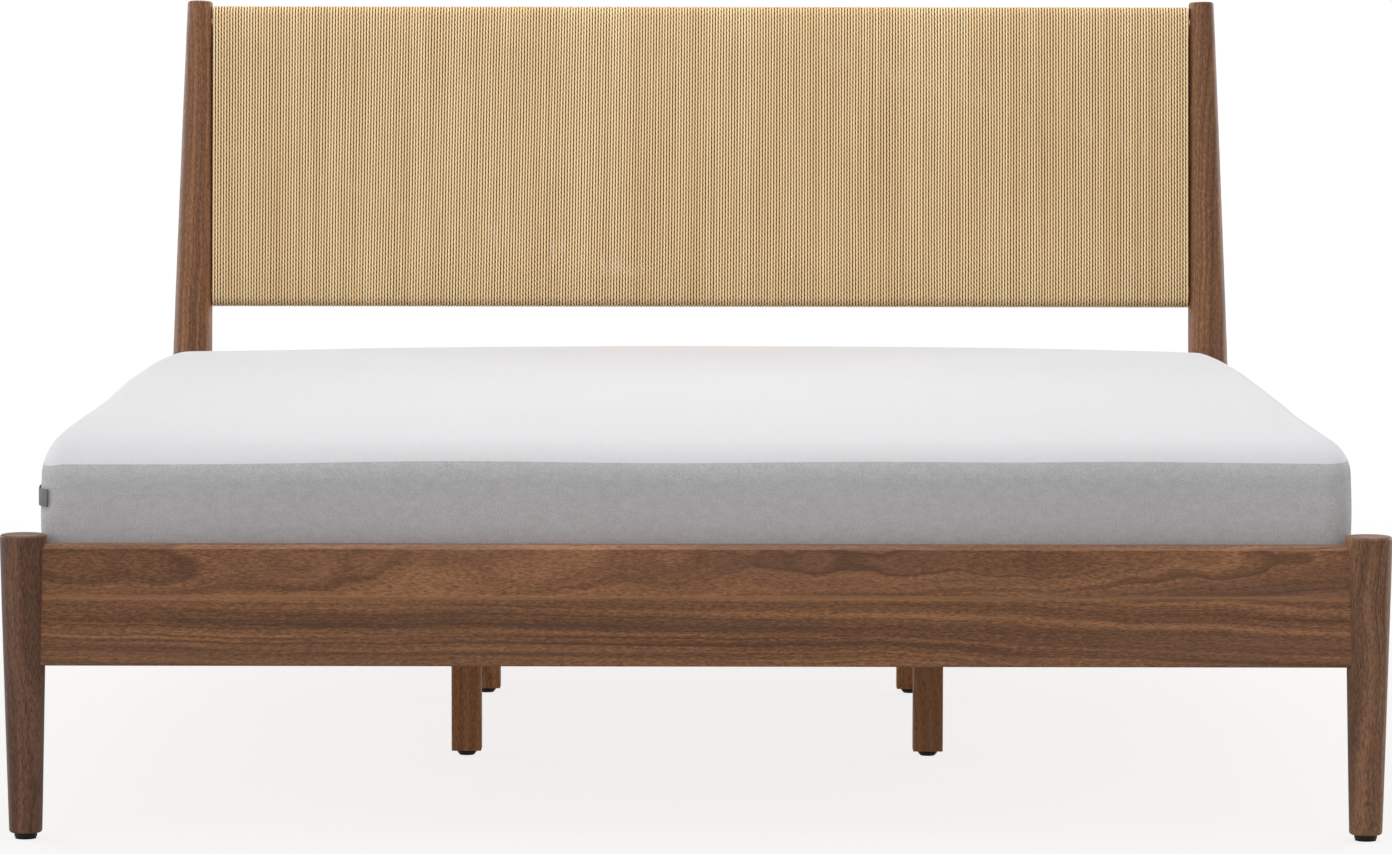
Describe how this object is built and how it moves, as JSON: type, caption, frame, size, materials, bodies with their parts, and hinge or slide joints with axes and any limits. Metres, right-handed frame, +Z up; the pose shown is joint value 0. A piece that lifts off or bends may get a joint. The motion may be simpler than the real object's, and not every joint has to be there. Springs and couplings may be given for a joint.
{
  "type": "platform bed with a paper cord headboard",
  "caption": "Walnut platform bed with turned posts, slatted frame, white foam mattress and a raked headboard of wound paper cord.",
  "frame": {"origin": "on the floor, in the middle of the bed's overall box seen from above", "axes": "+Y along the bed from the foot to the headboard, +X to the right seen from the foot, +Z up"},
  "size_m": [1.6208, 2.1794, 0.9654],
  "materials": {
    "walnut": "oiled walnut, satin",
    "walnut_dark": "dark stained hardwood, satin",
    "slat_pine": "planed pine, unfinished",
    "beech_dowel": "beech, unfinished",
    "paper_cord": "twisted paper cord, natural",
    "mattress_fabric": "fine white knit",
    "strap_webbing": "grey webbing",
    "tape_webbing": "black webbing",
    "foot_nylon": "brown nylon",
    "felt": "black felt",
    "zinc_steel": "zinc plated steel"
  },
  "bodies": {
    "frame": {"foot_post_left": "walnut", "foot_post_right": "walnut", "head_post_left": "walnut", "head_post_right": "walnut", "foot_rail": "walnut", "head_rail": "walnut", "side_rail_left": "walnut", "side_rail_right": "walnut", "centre_beam_left": "walnut_dark", "centre_beam_right": "walnut_dark", "support_leg_1": "walnut_dark", "support_leg_2": "walnut_dark", "support_leg_3": "walnut_dark", "support_leg_4": "walnut_dark", "slat_ledge_left": "slat_pine", "slat_ledge_right": "slat_pine", "headboard_top_rail": "slat_pine", "headboard_bottom_rail": "slat_pine", "headboard_brace_left": "slat_pine", "headboard_brace_right": "slat_pine", "slat_01": "slat_pine", "slat_02": "slat_pine", "slat_03": "slat_pine", "slat_04": "slat_pine", "slat_05": "slat_pine", "slat_06": "slat_pine", "slat_07": "slat_pine", "slat_08": "slat_pine", "slat_09": "slat_pine", "slat_10": "slat_pine", "slat_11": "slat_pine", "slat_12": "slat_pine", "slat_13": "slat_pine", "slat_14": "slat_pine", "beam_hangers": "zinc_steel", "leveller_inserts": "zinc_steel", "support_leg_studs": "zinc_steel", "rail_studs": "zinc_steel", "rail_washers": "zinc_steel", "rail_nuts": "zinc_steel", "ledge_screws": "zinc_steel", "hanger_screws": "zinc_steel", "slat_screws": "zinc_steel", "post_glide_1": "foot_nylon", "post_glide_2": "foot_nylon", "post_glide_3": "foot_nylon", "post_glide_4": "foot_nylon", "glide_felts": "felt", "slat_tape_left": "tape_webbing", "slat_tape_right": "tape_webbing", "rail_dowels": "beech_dowel", "cord_winding": "paper_cord"},
    "mattress": {"mattress": "mattress_fabric", "mattress_strap": "strap_webbing"},
    "leveller_1": {"leveller_1": "foot_nylon"},
    "leveller_2": {"leveller_2": "foot_nylon"},
    "leveller_3": {"leveller_3": "foot_nylon"},
    "leveller_4": {"leveller_4": "foot_nylon"}
  },
  "joints": [
    {"name": "mattress_lift", "type": "slide", "parent": "frame", "child": "mattress", "axis": [0, 0, 1], "range_m": [0, 0.75]},
    {"name": "leveller_1_screw", "type": "slide", "parent": "frame", "child": "leveller_1", "axis": [0, 0, -1], "range_m": [0, 0.012]},
    {"name": "leveller_2_screw", "type": "slide", "parent": "frame", "child": "leveller_2", "axis": [0, 0, -1], "range_m": [0, 0.012]},
    {"name": "leveller_3_screw", "type": "slide", "parent": "frame", "child": "leveller_3", "axis": [0, 0, -1], "range_m": [0, 0.012]},
    {"name": "leveller_4_screw", "type": "slide", "parent": "frame", "child": "leveller_4", "axis": [0, 0, -1], "range_m": [0, 0.012]}
  ]
}
